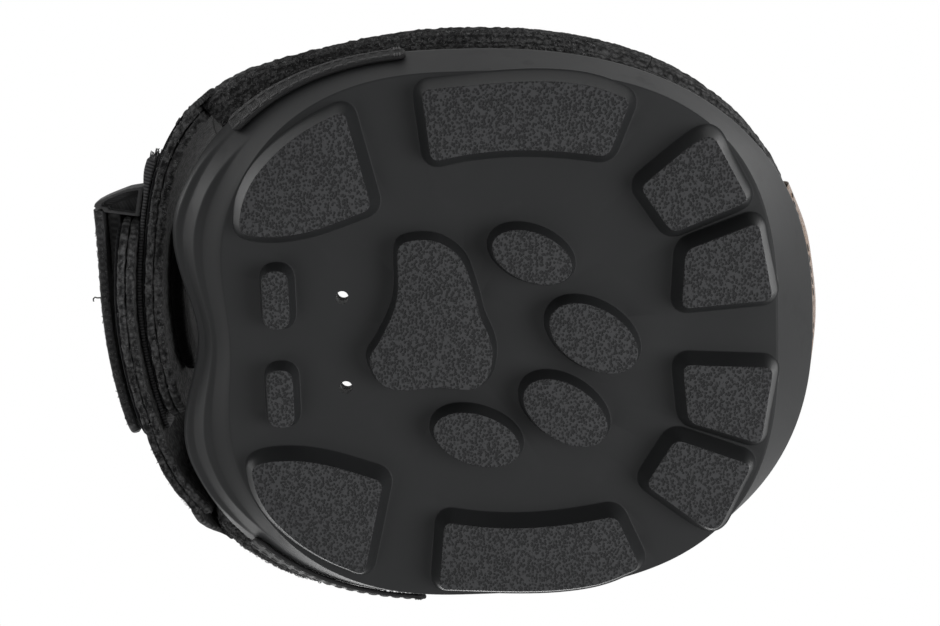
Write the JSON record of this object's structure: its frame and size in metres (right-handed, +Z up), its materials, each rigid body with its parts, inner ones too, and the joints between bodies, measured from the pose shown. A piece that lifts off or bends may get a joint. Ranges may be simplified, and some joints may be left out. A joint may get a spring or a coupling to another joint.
{
  "type": "hoof boot",
  "caption": "horse hoof boot: lugged rubber cup with a padded textile upper, closed behind the heel by two overlapping flaps and a strap",
  "frame": {"origin": "middle of the bounding box's footprint, on the ground under the lugs", "axes": "+Z up, -Y to the toe, +X to the boot's left side"},
  "size_m": [0.158, 0.1968, 0.1141],
  "materials": {
    "rubber": "satin moulded rubber, black",
    "foam": "closed-cell foam, dark grey",
    "textile": "coarse woven nylon, black",
    "lining": "padded knit, black",
    "tape": "woven binding tape, black",
    "brown_leather": "tan leather",
    "black_leather": "smooth leather, black",
    "hook_tape": "hook tape, black",
    "loop_pile": "loop pile, black",
    "webbing": "ribbed webbing, black"
  },
  "bodies": {
    "boot": {"outsole": "rubber", "insole": "foam", "front_panel": "textile", "left_quarter": "textile", "right_quarter": "textile", "front_lining": "lining", "left_lining": "lining", "right_lining": "lining", "left_seam_tape": "tape", "right_seam_tape": "tape", "collar_pad": "lining", "collar_tape": "tape", "toe_guard": "brown_leather", "left_rim_tab": "black_leather", "right_rim_tab": "black_leather"},
    "inner_flap": {"inner_flap_shell": "textile", "inner_flap_lining": "lining", "inner_flap_loop_patch": "loop_pile", "heel_pad": "lining"},
    "outer_flap": {"outer_flap_shell": "textile", "outer_flap_lining": "lining", "outer_flap_hook_tape": "hook_tape", "outer_flap_loop_patch": "loop_pile", "strap_anchor": "webbing"},
    "locking_strap": {"strap_webbing": "webbing", "strap_hook_patch": "hook_tape"}
  },
  "joints": [
    {"name": "outer_flap_hinge", "type": "hinge", "parent": "boot", "child": "outer_flap", "pos_m": [0.05271, 0.0738, 0.0275], "axis": [0, 0, -1], "range_deg": [0, 110]},
    {"name": "inner_flap_hinge", "type": "hinge", "parent": "boot", "child": "inner_flap", "pos_m": [-0.06142, 0.06805, 0.0275], "axis": [0, 0, 1], "range_deg": [0, 22]},
    {"name": "strap_hinge", "type": "hinge", "parent": "outer_flap", "child": "locking_strap", "pos_m": [-0.03366, 0.09798, 0.0275], "axis": [0, 0, 1], "range_deg": [0, 110]}
  ],
  "couplings": [
    {"joint": "inner_flap_hinge", "follows": "outer_flap_hinge", "ratio": 0.2}
  ]
}
